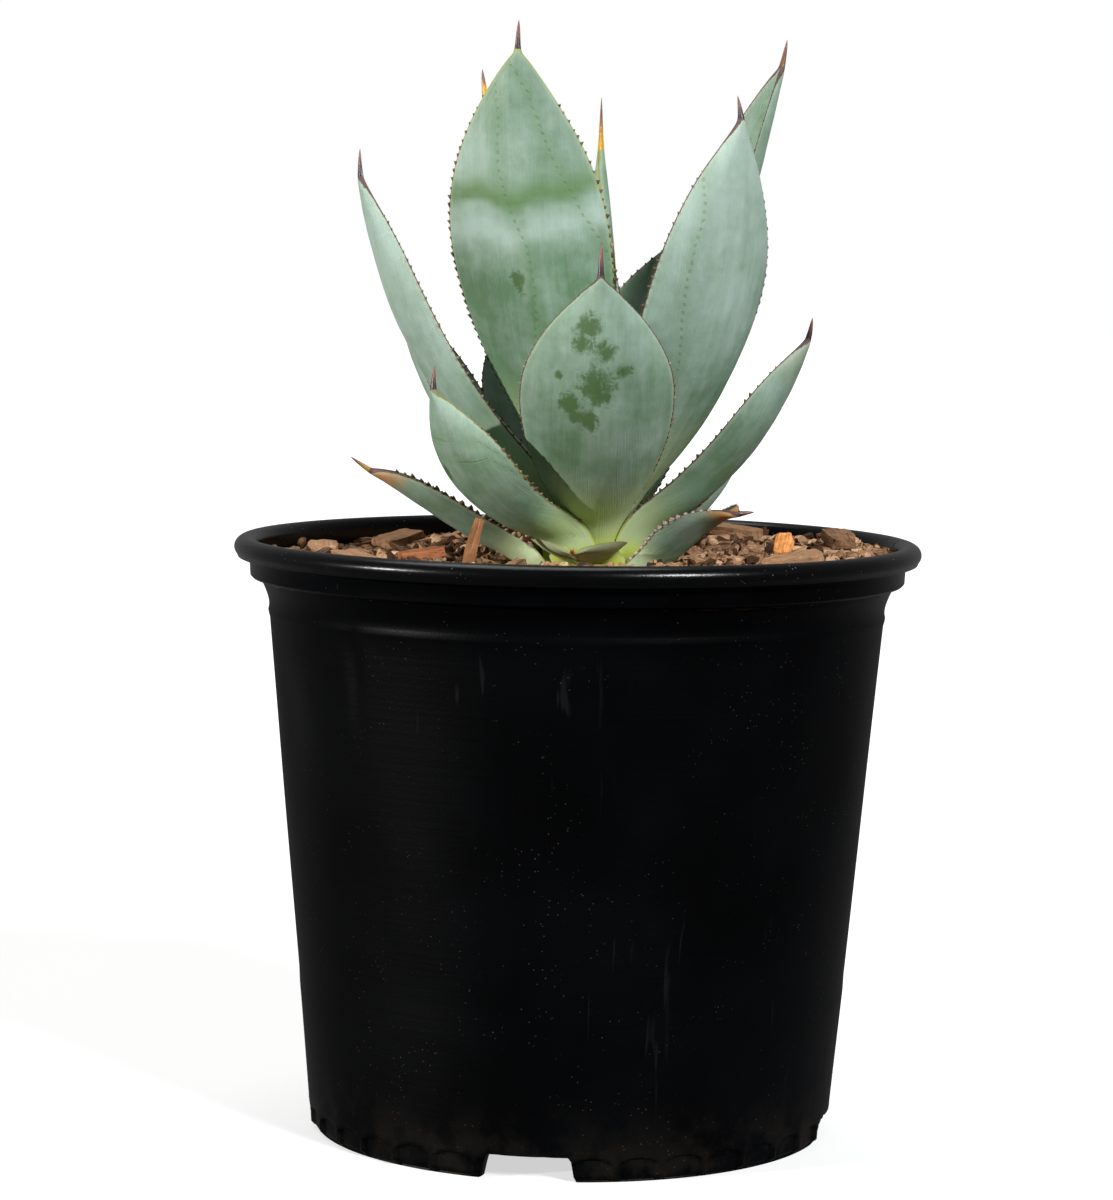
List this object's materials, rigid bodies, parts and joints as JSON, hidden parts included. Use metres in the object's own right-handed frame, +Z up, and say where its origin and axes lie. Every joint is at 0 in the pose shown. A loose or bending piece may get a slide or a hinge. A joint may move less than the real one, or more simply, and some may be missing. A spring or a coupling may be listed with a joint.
{
  "type": "potted agave",
  "caption": "Young blue-green agave rosette with broad toothed, spine-tipped leaves, growing in bark mix in a round black nursery pot with a rolled lip and fluted foot.",
  "frame": {"origin": "centre of the pot's underside, where it stands", "axes": "+Z up along the pot's axis, -Y towards the viewer's side of the plant, +X to that viewer's right"},
  "size_m": [0.279, 0.279, 0.448],
  "materials": {
    "pot_plastic": "black moulded polyethylene with a soft sheen, scuffed",
    "potting_mix": "coarse brown bark mix",
    "stem": "matt plant tissue",
    "leaf": "waxy blue-green skin with a powdery bloom",
    "bud": "waxy green skin",
    "bark": "split bark, matt"
  },
  "bodies": {
    "root": {"nursery_pot": "pot_plastic", "potting_mix": "potting_mix", "stem": "stem", "low_left_leaf": "leaf", "low_right_leaf": "leaf", "low_back_leaf": "leaf", "low_front_leaf": "leaf", "back_right_low_leaf": "leaf", "left_outer_leaf": "leaf", "back_lower_leaf": "leaf", "front_left_leaf": "leaf", "right_lower_leaf": "leaf", "back_left_leaf": "leaf", "front_leaf": "leaf", "back_right_leaf": "leaf", "left_tall_leaf": "leaf", "right_tall_leaf": "leaf", "back_tall_leaf": "leaf", "front_tall_leaf": "leaf", "right_inner_leaf": "leaf", "left_inner_leaf": "leaf", "centre_bud": "bud", "upright_stick": "bark", "red_chip": "bark", "orange_chip": "bark", "front_left_chip": "bark", "front_right_chip": "bark", "right_chip": "bark", "back_right_chip": "bark", "back_chip": "bark", "back_left_chip": "bark", "left_chip": "bark"}
  },
  "joints": []
}
